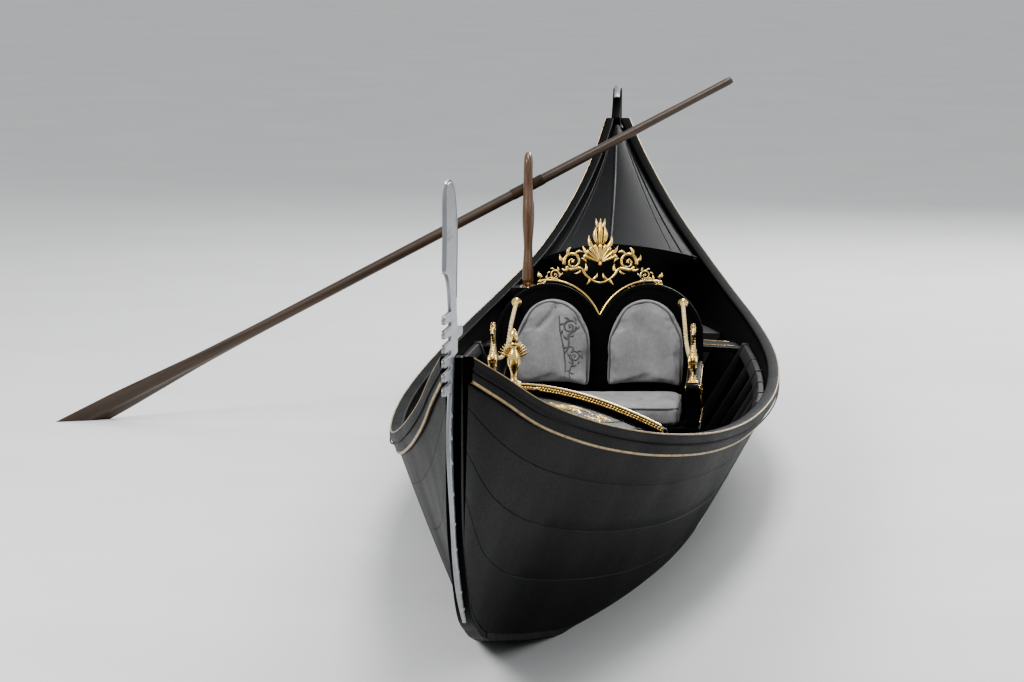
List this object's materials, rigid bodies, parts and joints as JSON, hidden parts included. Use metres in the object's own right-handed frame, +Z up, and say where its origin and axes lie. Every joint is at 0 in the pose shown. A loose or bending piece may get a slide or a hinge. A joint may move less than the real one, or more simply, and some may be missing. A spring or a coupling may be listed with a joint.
{
  "type": "venetian rowing gondola",
  "caption": "Long narrow flat-bottomed rowing boat with curved raised ends, a toothed iron at the bow, padded seats, and an oar on a crooked wooden rowlock.",
  "frame": {"origin": "on the water's surface at half the hull's length, on the line from stem to stern post", "axes": "+X to the bow, +Y to port, +Z up"},
  "size_m": [11.0449, 3.8631, 2.0578],
  "materials": {
    "brass": "polished",
    "carpet": "short pile",
    "cord_silk": "twisted gold silk",
    "deck_black": "gloss black lacquer",
    "floor_wood": "worn oiled boards",
    "gilt": "carved and gilded",
    "hull_black": "gloss black lacquer",
    "inner_black": "satin black paint",
    "oar_wood": "varnished",
    "steel": "polished",
    "velvet": "buttoned velvet",
    "walnut": "oiled"
  },
  "bodies": {
    "hull": {"side_starboard_bow": "hull_black", "side_starboard_forward": "hull_black", "side_starboard_aft": "hull_black", "side_starboard_stern": "hull_black", "gunwale_starboard": "hull_black", "side_port_bow": "hull_black", "side_port_forward": "hull_black", "side_port_aft": "hull_black", "side_port_stern": "hull_black", "gunwale_port": "hull_black", "bottom_bow": "hull_black", "bottom_middle": "hull_black", "bottom_aft": "hull_black", "bottom_stern": "hull_black", "stem_post": "hull_black", "stern_post": "hull_black", "foredeck": "deck_black", "aft_deck": "deck_black", "breasthook": "deck_black", "foredeck_coaming": "deck_black", "bow_bulkhead": "inner_black", "rowing_platform": "inner_black", "stern_bulkhead": "inner_black", "aft_deck_riser": "deck_black", "foot_wedge": "inner_black", "frames_starboard_forward": "inner_black", "frames_starboard_aft": "inner_black", "frames_port_forward": "inner_black", "frames_port_aft": "inner_black", "floor_timbers": "inner_black", "floorboards": "floor_wood", "fore_step": "floor_wood", "floor_carpet": "carpet", "aft_thwart": "deck_black", "sofa_base": "deck_black", "sofa_seat_cushion": "velvet", "sofa_backrest": "deck_black", "sofa_back_cushion_starboard": "velvet", "sofa_back_cushion_port": "velvet", "sofa_arm_starboard": "deck_black", "sofa_arm_port": "deck_black", "sofa_crest": "gilt", "chair_starboard": "deck_black", "chair_starboard_cushion": "velvet", "chair_port": "deck_black", "chair_port_cushion": "velvet", "bow_iron": "steel", "stern_iron": "steel", "forcola_socket": "deck_black", "seahorse_starboard": "brass", "seahorse_port": "brass", "deck_figure": "brass", "cord_starboard": "cord_silk", "cord_port": "cord_silk"},
    "forcola_post": {"forcola": "walnut"},
    "oar_shaft": {"oar": "oar_wood"},
    "bow_door": {"bow_locker_door": "inner_black"},
    "stern_door": {"stern_locker_door": "inner_black"}
  },
  "joints": [
    {"name": "forcola_lift", "type": "slide", "parent": "hull", "child": "forcola_post", "axis": [0, 0, 1], "range_m": [0, 0.14]},
    {"name": "oar_sweep", "type": "hinge", "parent": "forcola_post", "child": "oar_shaft", "pos_m": [-2.758, -0.29, 1.022], "axis": [0, 0, 1], "range_deg": [-30, 20]},
    {"name": "bow_door_hinge", "type": "hinge", "parent": "hull", "child": "bow_door", "pos_m": [3.144, -0.151, 0.315], "axis": [0, 0, 1], "range_deg": [0, 90]},
    {"name": "stern_door_hinge", "type": "hinge", "parent": "hull", "child": "stern_door", "pos_m": [-2.317, -0.111, 0.19], "axis": [0, 0, -1], "range_deg": [0, 90]}
  ]
}
